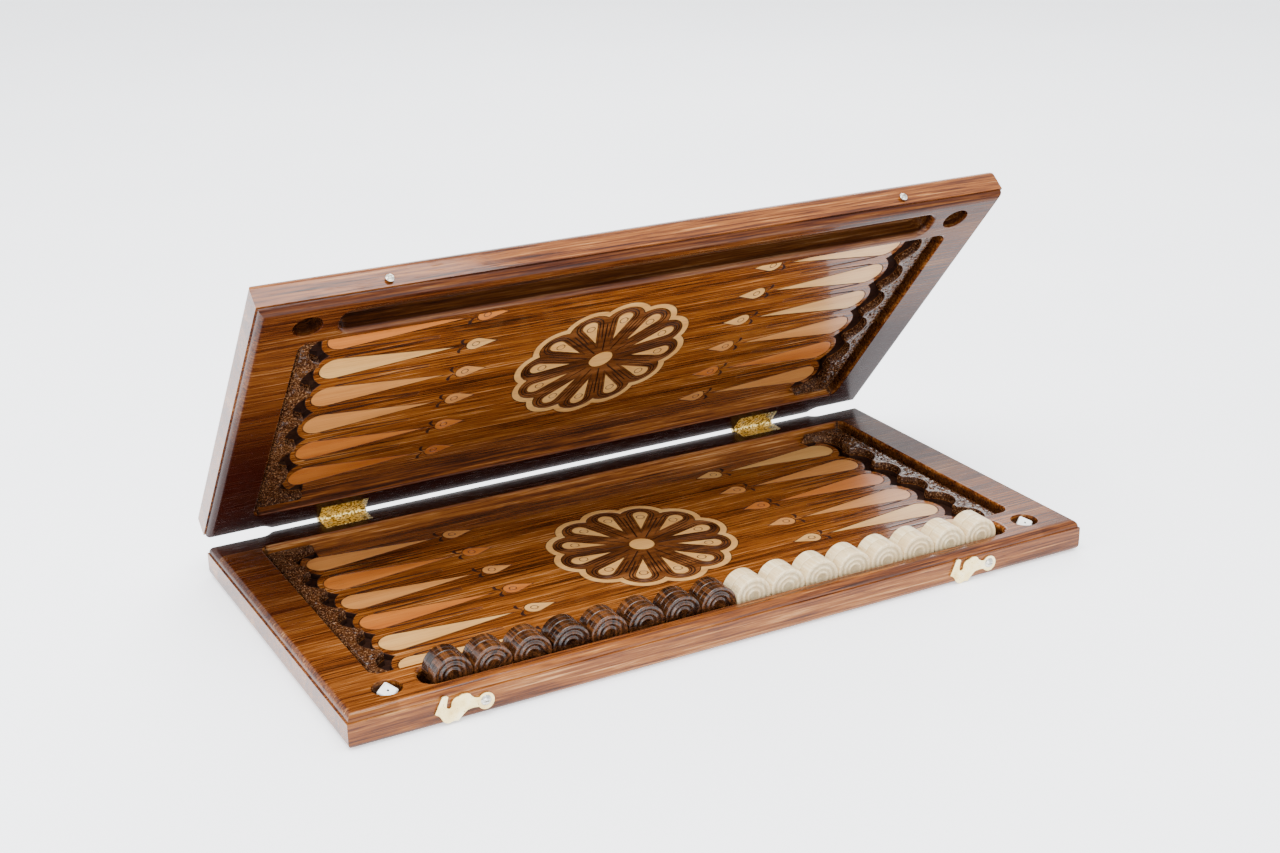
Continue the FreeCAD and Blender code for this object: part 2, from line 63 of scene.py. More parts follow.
BASE_PLACE = Matrix.Translation(Vector((0, HALF_D / 2, HALF_T)) * MM)
LID_PLACE = (Matrix.Translation(AXIS) @ Matrix.Rotation(-OPEN_ANGLE, 4, "X") @ Matrix.Translation(-AXIS)
             @ Matrix.Translation(Vector((0, HALF_D / 2, HALF_T + CLOSED_GAP)) * MM)
             @ Matrix.Rotation(math.pi, 4, "Y"))
PLACES = {"base": BASE_PLACE, "lid": LID_PLACE}

# ---------------------------------------------------------------- the half's layout, in millimetres
EDGE_INSET, EDGE_DEPTH, QUIRK = 6.5, 6.0, 1.2
OUTER_ROUND = 5.0
BACK_MOULD_X, CUTTER_PILOT_R = 258.0, 7.0
POOL_X, POOL_V, POOL_DEPTH, POOL_CORNER, POOL_LIP = 266.0, (24.0, 256.0), 12.5, 8.0, 1.25
GROOVE_X, GROOVE_V, GROOVE_DEPTH, GROOVE_CORNER, GROOVE_LIP = 240.0, (263.0, 286.0), 14.5, 9.0, 4.0
WELL_X, WELL_V, WELL_R = 263.5, 276.8, 10.3
POINT_V = (49.5, 87.5, 124.5, 161.5, 197.8, 234.5)
POINT_END_X, POINT_TIP_X, POINT_R = 238.5, 136.0, 12.25
DROP_END_X, DROP_TIP_X, DROP_R = 127.0, 103.0, 7.0
LOBE_X, LOBE_R = 243.0, 23.9
NOTCH_X = 224.0
CHANNEL_DEPTH = 16.5
RIDGE_DEPTH, RIDGE_INNER_X, RIDGE_OUTER_X = 6.0, 243.5, 262.0
RIDGE_APEX_X, RIDGE_ARC_R = 254.0, 17.5
BLOCK_X, BLOCK_ARC_R = 227.0, 20.0
ROSETTE_V, LOBES = 141.4, 12
BAND_NOTCH_R, BAND_TIP_R, BAND_W = 68.5, 74.5, 5.5
PETAL_TIP_R, PETAL_END_R, PETAL_R, DISC_R = 27.0, 62.0, 6.25, 9.7
ROSETTE_TURN = {"base": -2.5, "lid": 4.0}
LEAF_X, LEAF_W, LEAF_D, LEAF_SINK = 190.4, 38.5, 15.0, 1.0
POCKET_DEPTH, GROUND_DEPTH = 13.3, POOL_DEPTH + 0.1
STIPPLE_STEP, STIPPLE_JITTER = 1.35, 0.3
BOW_X, BOW_BULGE, BOW_START, BOW_SPAN = 128.4, 3.4, 0.9, 8.2
LINE_START_X, LINE_SPAN, LINE_SPREAD, LINE_GAP = 231.0, 80.0, 4.2, 1.1
DROP_EYE_X, DROP_EYE_R = 119.6, 2.7
PETAL_EYE_AT, PETAL_EYE_R = 51.8, 3.3


# ---------------------------------------------------------------- outlines, as lists of (x, v)
def arc(cx, cv, r, start, end, steps):
    """Points on a circle from one angle to another, in degrees, 0 along +x and 90 along +v."""
    spots = []
    for i in range(steps + 1):
        a = math.radians(start + (end - start) * i / steps)
        spots.append((cx + r * math.cos(a), cv + r * math.sin(a)))
    return spots


def circle(cx, cv, r, count):
    step = 360 / count
    return arc(cx, cv, r, 0, 360 - step, count - 1)


def rounded_rect(x, v0, v1, r, grow, steps=7):
    """Rectangle from -x to x and v0 to v1, with corners of radius r, grown outwards evenly."""
    x, v0, v1, r = x + grow, v0 - grow, v1 + grow, r + grow
    return (arc(x - r, v1 - r, r, 0, 90, steps) + arc(-x + r, v1 - r, r, 90, 180, steps)
            + arc(-x + r, v0 + r, r, 180, 270, steps) + arc(x - r, v0 + r, r, 270, 360, steps))


def drop(x_end, x_tip, v, r, grow=0.0, steps=22):
    """Round at x_end, pointed at x_tip, grown outwards evenly."""
    side = 1 if x_end > x_tip else -1
    cx = x_end - side * r
    reach = abs(cx - x_tip) * (r + grow) / r
    lean = math.degrees(math.acos((r + grow) / reach))
    spots = arc(0, 0, r + grow, -180 + lean, 180 - lean, steps) + [(-reach, 0)]
    return [(cx + side * x, v + y) for x, y in spots]


def lobed(grow, steps=7):
    """Rosette outline of circular lobes; grow moves it outwards."""
    half = math.radians(180 / LOBES)
    nx, ny = BAND_NOTCH_R * math.cos(half), BAND_NOTCH_R * math.sin(half)
    rho = ((BAND_TIP_R - nx) ** 2 + ny ** 2) / (2 * (BAND_TIP_R - nx))
    centre = BAND_TIP_R - rho
    spots = []
    for i in range(LOBES):
        for k in range(steps):
            f = -half + 2 * half * k / steps
            r = centre * math.cos(f) + math.sqrt((rho + grow) ** 2 - (centre * math.sin(f)) ** 2)
            spots.append(polar(r, math.degrees(f) + i * 360 / LOBES))
    return spots


def polar(r, deg):
    """Spot at a distance from the rosette's middle, 0 degrees towards the hinge edge."""
    a = math.radians(deg)
    return r * math.sin(a), ROSETTE_V - r * math.cos(a)


def petal(i, grow=0.0, steps=16):
    """Petal i, round end outwards."""
    spots = drop(PETAL_END_R, PETAL_TIP_R, 0, PETAL_R, grow, steps)
    a = math.radians(i * 360 / LOBES)
    return [(x * math.sin(a) + y * math.cos(a), ROSETTE_V - x * math.cos(a) + y * math.sin(a))
            for x, y in spots]


def turned(spots, deg):
    """Spots turned about the rosette's middle."""
    a = math.radians(deg)
    c, s = math.cos(a), math.sin(a)
    return [(x * c - (v - ROSETTE_V) * s, ROSETTE_V + x * s + (v - ROSETTE_V) * c) for x, v in spots]


def mirrored(spots):
    return [(-x, v) for x, v in spots]


def end_hollow(grow):
    """Sunk area at the +x end: scalloped towards the field, square towards the rim."""
    edge = 0.35 + 0.2 * grow
    x1, v0, v1 = POOL_X - edge, POOL_V[0] + edge, POOL_V[1] - edge
    cx, r = LOBE_X - LOBE_R, LOBE_R + grow
    spots = [(NOTCH_X + grow, v0)]
    limits = [None] + [(a + b) / 2 for a, b in zip(POINT_V, POINT_V[1:])] + [v1]
    for v, low, high in zip(POINT_V, limits, limits[1:]):
        if low is None:
            first = -math.degrees(math.acos((NOTCH_X + grow - cx) / r))
        else:
            first = math.degrees(math.asin((low - v) / r))
        spots += arc(cx, v, r, first, math.degrees(math.asin((high - v) / r)), 12)
    corner = 6.5
    spots += arc(x1 - corner, v1 - corner, corner, 90, 0, 6)
    return spots + arc(x1 - corner, v0 + corner, corner, 0, -90, 6)


def ridge(grow):
    """Raised end carving at the +x end: hollowed round each point, flat-ended piers between."""
    inner, outer, r = RIDGE_INNER_X - grow, RIDGE_OUTER_X + grow, RIDGE_ARC_R - grow
    v0, v1 = POOL_V[0] + 0.9 - grow / 2, POOL_V[1] - 1.9 + grow / 2
    big = BLOCK_ARC_R - grow
    swing = math.degrees(math.acos((inner - BLOCK_X) / big))
    spots = [(BLOCK_X - grow, v0)]
    spots += arc(BLOCK_X, POINT_V[0], big, -92, swing, 16)
    cx = RIDGE_APEX_X - RIDGE_ARC_R
    swing = math.degrees(math.acos((inner - cx) / r))
    for v in POINT_V[1:]:
        spots += arc(cx, v, r, -swing, swing, 12)
    return spots + [(inner, v1)] + arc(outer - 2, v1 - 2, 2, 90, 0, 4) + arc(outer - 5, v0 + 5, 5, 0, -90, 5)


def inside(spot, outline):
    """Whether the spot lies within the closed outline."""
    x, v = spot
    hit = False
    for (ax, av), (bx, bv) in zip(outline, outline[1:] + outline[:1]):
        if (av > v) != (bv > v) and x < ax + (v - av) * (bx - ax) / (bv - av):
            hit = not hit
    return hit


# ---------------------------------------------------------------- reliefs
class Relief:
    """A carved face, given by runs of spots with a depth each and filled in between."""

    def __init__(self):
        self.spots, self.depths, self.edges = [], [], []

    def run(self, spots, depth, closed=True):
        """Line of spots to keep as edges; depth is one number or one for each spot."""
        first = len(self.spots)
        self.spots += [Vector(s) for s in spots]
        self.depths += list(depth) if isinstance(depth, (list, tuple)) else [depth] * len(spots)
        last = len(self.spots) - 1
        self.edges += [(i, i + 1) for i in range(first, last)]
        if closed:
            self.edges.append((last, first))

    def groove(self, path, half_width, base, depth):
        """V-shaped cut along a path; half_width is one number or one for each spot."""
        widths = half_width if isinstance(half_width, list) else [half_width] * len(path)
        left, right = [], []
        for i, (x, v) in enumerate(path):
            ax, av = path[max(i - 1, 0)]
            bx, bv = path[min(i + 1, len(path) - 1)]
            size = math.hypot(bx - ax, bv - av)
            nx, nv = -(bv - av) / size * widths[i], (bx - ax) / size * widths[i]
            left.append((x + nx, v + nv))
            right.append((x - nx, v - nv))
        self.run(left + right[::-1], base)
        self.run(path[1:-1], base + depth, closed=False)

    def fill(self, keep=None):
        """(spots, depths, triangles), with the triangles kept where keep(spot) is true."""
        spots, _, faces, source, _, _ = delaunay_2d_cdt(self.spots, self.edges, [], 0, 1e-4)
        depths = [self.depths[made_from[0]] if made_from else None for made_from in source]
        crossings = {i: [] for i, depth in enumerate(depths) if depth is None}
        for face in faces:
            for i in face:
                if i in crossings:
                    crossings[i] += [depths[j] for j in face if depths[j] is not None]
        for i, values in crossings.items():
            depths[i] = sum(values) / len(values) if values else self.depths[0]
        if keep:
            faces = [f for f in faces
                     if keep(tuple(sum((spots[i] for i in f), Vector((0, 0))) / 3))]
        return spots, depths, faces


def add_mesh(name, points, faces, place, body, material, replaces=(), angle=32):
    """Mesh piece in a half's frame: points are (x, v, h) in millimetres."""
    mesh = bpy.data.meshes.new(name)
    mesh.from_pydata([(x * MM, -v * MM, -h * MM) for x, v, h in points], [], faces)
    mesh.update()
    work = bmesh.new()
    work.from_mesh(mesh)
    loose = [v for v in work.verts if not v.link_faces]
    bmesh.ops.delete(work, geom=loose, context="VERTS")
    bmesh.ops.recalc_face_normals(work, faces=work.faces)
    work.to_mesh(mesh)
    work.free()
    obj = bpy.data.objects.new(name, mesh)
    bpy.context.scene.collection.objects.link(obj)
    obj.matrix_world = place
    smooth(obj, angle)
    obj.data.materials.append(material)
    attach(obj, body)
    if replaces:
        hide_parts(*replaces)
    return obj


def smooth(obj, degrees):
    """Smooth shading, broken at edges sharper than the angle."""
    mesh = obj.data
    mesh.polygons.foreach_set("use_smooth", [True] * len(mesh.polygons))
    mesh.set_sharp_from_angle(angle=math.radians(degrees))
    mod = obj.modifiers.new("normals", "WEIGHTED_NORMAL")
    mod.keep_sharp = True
    mod.weight = 100


# ---------------------------------------------------------------- the carved half
def mould_levels():
    """(inset, depth) steps of the moulded edge, from the ledge at its foot to the flat."""
    r = EDGE_INSET - QUIRK
    steps = [(QUIRK, EDGE_DEPTH)]
    for i in range(9):
        a = math.radians(i * 90 / 8)
        steps.append((QUIRK + (0.02 if i == 0 else 0) + r * (1 - math.cos(a)), r * (1 - math.sin(a))))
    steps[-1] = (EDGE_INSET, 0.0)
    return steps


def mould_end_x(inset):
    """Where the moulding runs out through the back edge, at an inset."""
    return BACK_MOULD_X - math.sqrt((CUTTER_PILOT_R + inset) ** 2 - CUTTER_PILOT_R ** 2)


def back_edge():
    """(x, depth) along the right half of the back edge, from the corner inwards."""
    spots = [(HALF_L / 2, EDGE_DEPTH)]
    spots += [(mould_end_x(t), h) for t, h in mould_levels()]
    for side in (1, -1):
        outer, inner = LEAF_X + side * LEAF_W / 2, LEAF_X + side * (LEAF_W / 2 - 0.02)
        pair = [(outer, 0.0), (inner, LEAF_SINK)]
        spots += pair if side == 1 else pair[::-1]
    return spots


def outline_run():
    """The half's outline with the depth of the carved face along it."""
    back = back_edge()
    x, v = HALF_L / 2, HALF_D
    spots = [(-x, v, EDGE_DEPTH)]
    spots += [(x * (i / 6 - 0.5) * 2, v, EDGE_DEPTH) for i in range(1, 6)]
    spots += [(x, v, EDGE_DEPTH), (x, v / 2, EDGE_DEPTH)]
    spots += [(bx, 0.0, h) for bx, h in back]
    spots += [(-bx, 0.0, h) for bx, h in reversed(back)]
    return spots + [(-x, v / 2, EDGE_DEPTH)]


def carve_edges(relief):
    """Moulded edge round the ends and the front, and the recesses of the hinge leaves."""
    for t, h in mould_levels():
        x, v, r = HALF_L / 2 - t, HALF_D - t, CUTTER_PILOT_R + t
        start = mould_end_x(t)
        from_angle = math.degrees(math.atan2(CUTTER_PILOT_R, start - BACK_MOULD_X))
        bend = arc(BACK_MOULD_X, -CUTTER_PILOT_R, r, from_angle, 90, 7)
        bend[0] = (start, 0.0)
        right = bend + [(x, t)]
        relief.run(right + [(x, v), (-x, v)] + mirrored(right)[::-1], h, closed=False)
    for side in (-1, 1):
        for slack, h in ((0.0, 0.0), (0.02, LEAF_SINK)):
            half, v = LEAF_W / 2 - slack, LEAF_D - slack
            cx = side * LEAF_X
            relief.run([(cx - half, 0.0), (cx - half, v), (cx + half, v), (cx + half, 0.0)], h, closed=False)


def carve_hollows(relief):
    """Sunk field, checker groove and the two wells."""
    for i in range(5):
        b = math.radians(i * 22.5)
        ring = rounded_rect(POOL_X, *POOL_V, POOL_CORNER, POOL_LIP * (1 - math.sin(b)))
        relief.run(ring, POOL_LIP * (1 - math.cos(b)))
    relief.run(rounded_rect(POOL_X, *POOL_V, POOL_CORNER, -0.1), POOL_DEPTH)
    for i in range(8):
        b = math.radians(i * 90 / 7)
        ring = rounded_rect(GROOVE_X, *GROOVE_V, GROOVE_CORNER, GROOVE_LIP * (1 - math.sin(b)), 9)
        relief.run(ring, GROOVE_LIP * (1 - math.cos(b)))
    for grow, h in ((-0.1, GROOVE_DEPTH - 0.8), (-0.35, GROOVE_DEPTH - 0.2), (-0.9, GROOVE_DEPTH)):
        relief.run(rounded_rect(GROOVE_X, *GROOVE_V, GROOVE_CORNER, grow, 9), h)
    for side in (-1, 1):
        for grow, h in ((0.7, 0.0), (0.25, 0.2), (0.0, 0.7), (-0.1, GROOVE_DEPTH - 1.2),
                        (-1.0, GROOVE_DEPTH - 0.2), (-4.0, GROOVE_DEPTH)):
            relief.run(circle(side * WELL_X, WELL_V, WELL_R + grow, 36), h)


def carve_ends(relief, dice):
    """Sunk channel with the stippled ridge standing in it, at both ends."""
    for flip in (lambda s: s, mirrored):
        for grow, h in ((-0.5, POOL_DEPTH), (0.0, POOL_DEPTH + 0.35), (0.5, CHANNEL_DEPTH)):
            relief.run(flip(end_hollow(grow)), h)
        for grow, h in ((0.5, CHANNEL_DEPTH), (0.15, 8.0), (0.0, 6.7), (-0.5, 6.1), (-1.3, RIDGE_DEPTH)):
            relief.run(flip(ridge(grow)), h)
        stipple(relief, flip, dice)


def stipple(relief, flip, dice):
    """Random pits and bumps all over the top of one end's ridge."""
    edge = ridge(-1.9)
    row_step = STIPPLE_STEP * 0.87
    for row in range(int((POOL_V[1] - POOL_V[0]) / row_step)):
        for column in range(int((POOL_X - BLOCK_X + 1) / STIPPLE_STEP)):
            shift = 0.5 * (row % 2)
            x = BLOCK_X + (column + shift) * STIPPLE_STEP + dice.uniform(-STIPPLE_JITTER, STIPPLE_JITTER)
            v = POOL_V[0] + row * row_step + dice.uniform(-STIPPLE_JITTER, STIPPLE_JITTER)
            if inside((x, v), edge):
                relief.spots.append(Vector(flip([(x, v)])[0]))
                relief.depths.append(RIDGE_DEPTH + dice.uniform(-0.45, 0.5))


def bow(side, v, way):
    """(path, half widths) of one arm of the bow behind a drop, thickest past its middle."""
    path, widths = [], []
    for k in range(12):
        share = k / 11
        x = BOW_X + BOW_BULGE * math.sin(math.pi * 0.8 * share)
        path.append((side * x, v + way * (BOW_START + BOW_SPAN * share)))
        widths.append(0.6 + 1.1 * math.sin(math.pi * share ** 1.8))
    return path, widths


def line_between(side, v, way):
    """(path, half widths) of one of the two cuts between neighbouring points, closing on v."""
    path, widths = [], []
    for k in range(9):
        share = k / 8
        away = LINE_SPREAD * (1 - share) + LINE_GAP
        path.append((side * (LINE_START_X - LINE_SPAN * share), v + way * away))
        widths.append(1.05 - 0.56 * share)
    return path, widths


def carve_field(relief, half):
    """Pockets for the inlays and the fine cuts round them."""
    for side in (-1, 1):
        for v in POINT_V:
            for grow, h in ((0.5, POOL_DEPTH), (0.05, POOL_DEPTH + 0.5), (-0.5, POCKET_DEPTH)):
                relief.run(drop(side * POINT_END_X, side * POINT_TIP_X, v, POINT_R, grow), h)
                relief.run(drop(side * DROP_END_X, side * DROP_TIP_X, v, DROP_R, grow, 14), h)
            for way in (-1, 1):
                relief.groove(*bow(side, v, way), POOL_DEPTH, 0.4)
        for low, high in zip(POINT_V, POINT_V[1:]):
            for way in (-1, 1):
                relief.groove(*line_between(side, (low + high) / 2, way), POOL_DEPTH, 0.4)
    for grow, h in ((0.5, POOL_DEPTH), (0.0, POOL_DEPTH + 0.5), (-0.8, POCKET_DEPTH)):
        relief.run(turned(lobed(grow), ROSETTE_TURN[half]), h)


def outer_levels():
    """(inset, depth) steps down the side and round the edge of the outer face."""
    steps = [(0.0, HALF_T - OUTER_ROUND)]
    for i in range(1, 7):
        a = math.radians(i * 15)
        steps.append((OUTER_ROUND * (1 - math.cos(a)), HALF_T - OUTER_ROUND * (1 - math.sin(a))))
    return steps


def half_board(half, material):
    """One half: the carved face, then plain sides and a plain outer face below it."""
    relief = Relief()
    outline = outline_run()
    relief.run([(x, v) for x, v, _ in outline], [h for _, _, h in outline])
    carve_edges(relief)
    carve_hollows(relief)
    carve_ends(relief, random.Random(11 if half == "base" else 12))
    carve_field(relief, half)
    spots, depths, triangles = relief.fill()
    points = [(s.x, s.y, h) for s, h in zip(spots, depths)] + outline
    faces = [tuple(f) for f in triangles]
    count = len(outline)
    loop = list(range(len(points) - count, len(points)))
    for inset, h in outer_levels():
        along, across = 1 - 2 * inset / HALF_L, 1 - 2 * inset / HALF_D
        first = len(points)
        points += [(x * along, HALF_D / 2 + (v - HALF_D / 2) * across, h) for x, v, _ in outline]
        for i in range(count):
            j = (i + 1) % count
            faces.append((loop[i], loop[j], first + j, first + i))
        loop = list(range(first, first + count))
    faces.append(tuple(loop))
    return add_mesh("carved_" + half, points, faces, PLACES[half], half, material,
                    replaces=("board_" + half,))


# ---------------------------------------------------------------- carved inlays
def raised(name, half, outlines, tones, rings, materials, node):
    """Inlays with eased edges, flush with the field, each given as outline(grow) with a tone; rings
    are (x, v, r) circles cut into their tops."""
    points, faces, paints = [], [], []
    for outline, tone in zip(outlines, tones):
        relief = Relief()
        for grow, h in ((-0.02, POCKET_DEPTH), (-0.08, POOL_DEPTH + 0.3), (-0.2, POOL_DEPTH + 0.08),
                        (-0.45, POOL_DEPTH)):
            relief.run(outline(grow), h)
        border = outline(-0.02)
        for x, v, r in rings:
            if inside((x, v), border):
                for grow, deep in ((0.5, 0.0), (0.28, 0.3), (-0.28, 0.3), (-0.5, 0.0)):
                    relief.run(circle(x, v, r + grow, 24), POOL_DEPTH + deep)
        spots, depths, triangles = relief.fill(lambda s: inside(s, border))
        first = len(points)
        points += [(s.x, s.y, h) for s, h in zip(spots, depths)]
        faces += [tuple(first + i for i in f) for f in triangles]
        paints += [tone] * len(triangles)
    obj = add_mesh(name, points, faces, PLACES[half], half, materials[0], replaces=(node,))
    for material in materials[1:]:
        obj.data.materials.append(material)
    obj.data.polygons.foreach_set("material_index", paints)
    return obj


def band(half, material):
    """Lobed band as rings of quads."""
    profile = ((-0.02, POCKET_DEPTH), (-0.1, POOL_DEPTH + 0.3), (-0.25, POOL_DEPTH + 0.05),
               (-0.6, POOL_DEPTH - 0.05), (-BAND_W + 0.6, POOL_DEPTH - 0.05),
               (-BAND_W + 0.25, POOL_DEPTH + 0.05), (-BAND_W + 0.1, POOL_DEPTH + 0.3),
               (-BAND_W + 0.02, POCKET_DEPTH))
    points, faces = [], []
    for grow, h in profile:
        ring = turned(lobed(grow, 14), ROSETTE_TURN[half])
        points += [(x, v, h) for x, v in ring]
        count = len(ring)
    for k in range(len(profile) - 1):
        for i in range(count):
            j = (i + 1) % count
            faces.append((k * count + i, k * count + j, (k + 1) * count + j, (k + 1) * count + i))
    return add_mesh("band_" + half, points, faces, PLACES[half], half, material,
                    replaces=("rosette_band_" + half,))


def led_inwards(end, tip, inner_r):
    """Spot on the way from a line's end to its tip, about inner_r from the rosette's middle."""
    x, v = end[0] - tip[0], end[1] - tip[1]
    size = math.hypot(x, v)
    reach = size - (math.hypot(end[0], end[1] - ROSETTE_V) - inner_r)
    return tip[0] + x * reach / size, tip[1] + v * reach / size


def petal_line(i, grow, inner_r):
    """Line round petal i, kept within the petal's share of the ground, both ends led inwards."""
    *ring, tip = petal(i, grow, 26)
    middle = math.radians(i * 360 / LOBES)
    line = []
    for x, v in ring:
        off = (math.atan2(x, ROSETTE_V - v) - middle + math.pi) % (2 * math.pi) - math.pi
        if abs(off) < math.radians(180 / LOBES - 1.4) and math.hypot(x, v - ROSETTE_V) > inner_r:
            line.append((x, v))
    return [led_inwards(line[0], tip, inner_r)] + line + [led_inwards(line[-1], tip, inner_r)]


def ground(half, material):
    """Dark ground of the rosette with cut lines that follow each petal."""
    relief = Relief()
    turn = ROSETTE_TURN[half]
    for grow, h in ((-BAND_W - 0.03, POCKET_DEPTH), (-BAND_W - 0.3, POOL_DEPTH + 0.25),
                    (-BAND_W - 0.6, GROUND_DEPTH)):
        relief.run(turned(lobed(grow), turn), h)
    for i in range(LOBES):
        for grow, h in ((0.25, GROUND_DEPTH), (0.02, POCKET_DEPTH)):
            relief.run(turned(petal(i, grow), turn), h)
        for grow, inner_r in ((2.0, 20.0), (4.5, 28.0)):
            relief.groove(turned(petal_line(i, grow, inner_r), turn), 0.68, GROUND_DEPTH, 0.45)
        ray = [polar(DISC_R + 3 + 5 * k, (i + 0.5) * 360 / LOBES) for k in range(9)]
        relief.groove(turned(ray, turn), 0.75, GROUND_DEPTH, 0.5)
    relief.run(circle(0, ROSETTE_V, DISC_R + 0.4, 36), GROUND_DEPTH)
    relief.run(circle(0, ROSETTE_V, DISC_R, 36), POCKET_DEPTH)
    border = turned(lobed(-BAND_W - 0.02), turn)
    spots, depths, triangles = relief.fill(lambda s: inside(s, border))
    points = [(s.x, s.y, h) for s, h in zip(spots, depths)]
    return add_mesh("ground_" + half, points, [tuple(f) for f in triangles], PLACES[half], half, material,
                    replaces=("rosette_ground_" + half,))


# ---------------------------------------------------------------- materials
class Nodes:
    """Short names for building one node material."""

    def __init__(self, name):
        self.material = bpy.data.materials.new(name)
        self.material.use_nodes = True
        self.tree = self.material.node_tree
        self.shader = self.tree.nodes["Principled BSDF"]
        coordinates = self.tree.nodes.new("ShaderNodeTexCoord")
        self.place = coordinates.outputs["Object"]

    def link(self, source, socket):
        self.tree.links.new(source, socket)

    def put(self, value, socket):
        """Number, colour or other socket into a socket."""
        if isinstance(value, (int, float, tuple)):
            socket.default_value = value
        else:
            self.link(value, socket)

    def scaled(self, x, y, z, source=None):
        node = self.tree.nodes.new("ShaderNodeMapping")
        node.inputs["Scale"].default_value = (x, y, z)
        self.link(source or self.place, node.inputs["Vector"])
        return node.outputs["Vector"]

    def noise(self, where, scale, detail=4.0, rough=0.55, warp=0.0):
        node = self.tree.nodes.new("ShaderNodeTexNoise")
        node.inputs["Scale"].default_value = scale
        node.inputs["Detail"].default_value = detail
        node.inputs["Roughness"].default_value = rough
        node.inputs["Distortion"].default_value = warp
        self.link(where, node.inputs["Vector"])
        return node.outputs["Fac"]

    def math(self, kind, a, b=0.0):
        node = self.tree.nodes.new("ShaderNodeMath")
        node.operation = kind
        self.put(a, node.inputs[0])
        self.put(b, node.inputs[1])
        return node.outputs[0]

    def times(self, first, *others):
        for other in others:
            first = self.math("MULTIPLY", first, other)
        return first

    def plus(self, a, b):
        return self.math("ADD", a, b)

    def minus(self, a, b):
        return self.math("SUBTRACT", a, b)

    def most(self, a, b):
        return self.math("MAXIMUM", a, b)

    def weighed(self, a, share_a, b, share_b):
        return self.plus(self.times(a, share_a), self.times(b, share_b))

    def between(self, value, low, high):
        """0 below low, 1 above high, smooth in between (high may be the lower one)."""
        node = self.tree.nodes.new("ShaderNodeMapRange")
        node.interpolation_type = "SMOOTHSTEP"
        a, b, flip = (low, high, False) if low < high else (high, low, True)
        node.inputs["From Min"].default_value = a
        node.inputs["From Max"].default_value = b
        node.inputs["To Min"].default_value = 1.0 if flip else 0.0
        node.inputs["To Max"].default_value = 0.0 if flip else 1.0
        self.link(value, node.inputs["Value"])
        return node.outputs["Result"]

    def ramp(self, value, stops):
        node = self.tree.nodes.new("ShaderNodeValToRGB")
        ramp = node.color_ramp
        while len(ramp.elements) < len(stops):
            ramp.elements.new(0.5)
        for element, (at, colour) in zip(ramp.elements, stops):
            element.position = at
            element.color = (*colour, 1)
        self.link(value, node.inputs["Fac"])
        return node.outputs["Color"]

    def mix(self, share, a, b):
        node = self.tree.nodes.new("ShaderNodeMix")
        node.data_type = "RGBA"
        self.put(share, node.inputs["Factor"])
        for value, socket in ((a, node.inputs["A"]), (b, node.inputs["B"])):
            self.put((*value, 1) if isinstance(value, tuple) and len(value) == 3 else value, socket)
        return node.outputs["Result"]

    def bump(self, height, distance, strength=1.0):
        node = self.tree.nodes.new("ShaderNodeBump")
        node.inputs["Distance"].default_value = distance
        node.inputs["Strength"].default_value = strength
        self.link(height, node.inputs["Height"])
        self.link(node.outputs["Normal"], self.shader.inputs["Normal"])
        self.link(node.outputs["Normal"], self.shader.inputs["Coat Normal"])

    def split(self):
        node = self.tree.nodes.new("ShaderNodeSeparateXYZ")
        self.link(self.place, node.inputs["Vector"])
        return node.outputs["X"], node.outputs["Y"], node.outputs["Z"]

    def millimetres(self):
        """On a half: distance from the middle of its length, from its hinge edge, and below its face."""
        x, y, z = self.split()
        return self.times(self.math("ABSOLUTE", x), 1000.0), self.times(y, -1000.0), self.times(z, -1000.0)

    def finish(self, colour, roughness, coat=0.0, coat_roughness=0.1, metallic=0.0, specular=0.3):
        self.put(colour, self.shader.inputs["Base Color"])
        self.put(roughness, self.shader.inputs["Roughness"])
        self.put(coat, self.shader.inputs["Coat Weight"])
        self.shader.inputs["Coat Roughness"].default_value = coat_roughness
        self.shader.inputs["Metallic"].default_value = metallic
        self.shader.inputs["Specular IOR Level"].default_value = specular
        return self.material


def grain(nodes, along="x", seed=0.0):
    """Broad streaks, fine fibres and open pores of sawn wood, each 0 to 1."""

    def run(x, across):
        return (x, across, across) if along == "x" else (across, x, across)

    moved = nodes.tree.nodes.new("ShaderNodeVectorMath")
    moved.operation = "ADD"
    moved.inputs[1].default_value = (seed, seed * 0.7, seed * 0.3)
    nodes.link(nodes.place, moved.inputs[0])
    where = moved.outputs["Vector"]
    streaks = nodes.noise(nodes.scaled(*run(1.8, 52.0), where), 1.0, 6.0, 0.66, 0.9)
    fibres = nodes.noise(nodes.scaled(*run(14.0, 560.0), where), 1.0, 4.0, 0.68, 0.3)
    pores = nodes.noise(nodes.scaled(*run(55.0, 1100.0), where), 1.0, 2.0, 0.5)
    return streaks, fibres, nodes.between(pores, 0.60, 0.68)


def painted_rim_shade(nodes, reach, down, ends, front):
    """How strong the painted shade and dark reflection on the rims are: most along the hinge edge, ends and
    front as given.
    """
    shade_share = nodes.plus(nodes.times(nodes.between(down, 230.0, 100.0), 0.45), ends)
    shade_share = nodes.most(shade_share, nodes.times(nodes.between(down, 32.0, 23.5), 0.92))
    past_end = nodes.most(nodes.minus(reach, POOL_X - POOL_CORNER), 0.0)
    past_side = nodes.most(nodes.minus(POOL_V[0] + POOL_CORNER, down), 0.0)
    past_side = nodes.most(past_side, nodes.minus(down, POOL_V[1] - POOL_CORNER))
    squares = nodes.plus(nodes.times(past_end, past_end), nodes.times(past_side, past_side))
    outside = nodes.between(nodes.math("SQRT", squares), POOL_CORNER - 0.1, POOL_CORNER + 1.2)
    beside = nodes.most(nodes.between(down, POOL_V[1] - 1.0, POOL_V[1] - 8.0),
                        nodes.between(reach, POOL_X - 4.0, POOL_X))
    front_rim = nodes.times(nodes.between(down, POOL_V[1] - 0.5, POOL_V[1] + 1.5), front)
    return nodes.most(nodes.times(outside, shade_share, beside), front_rim)


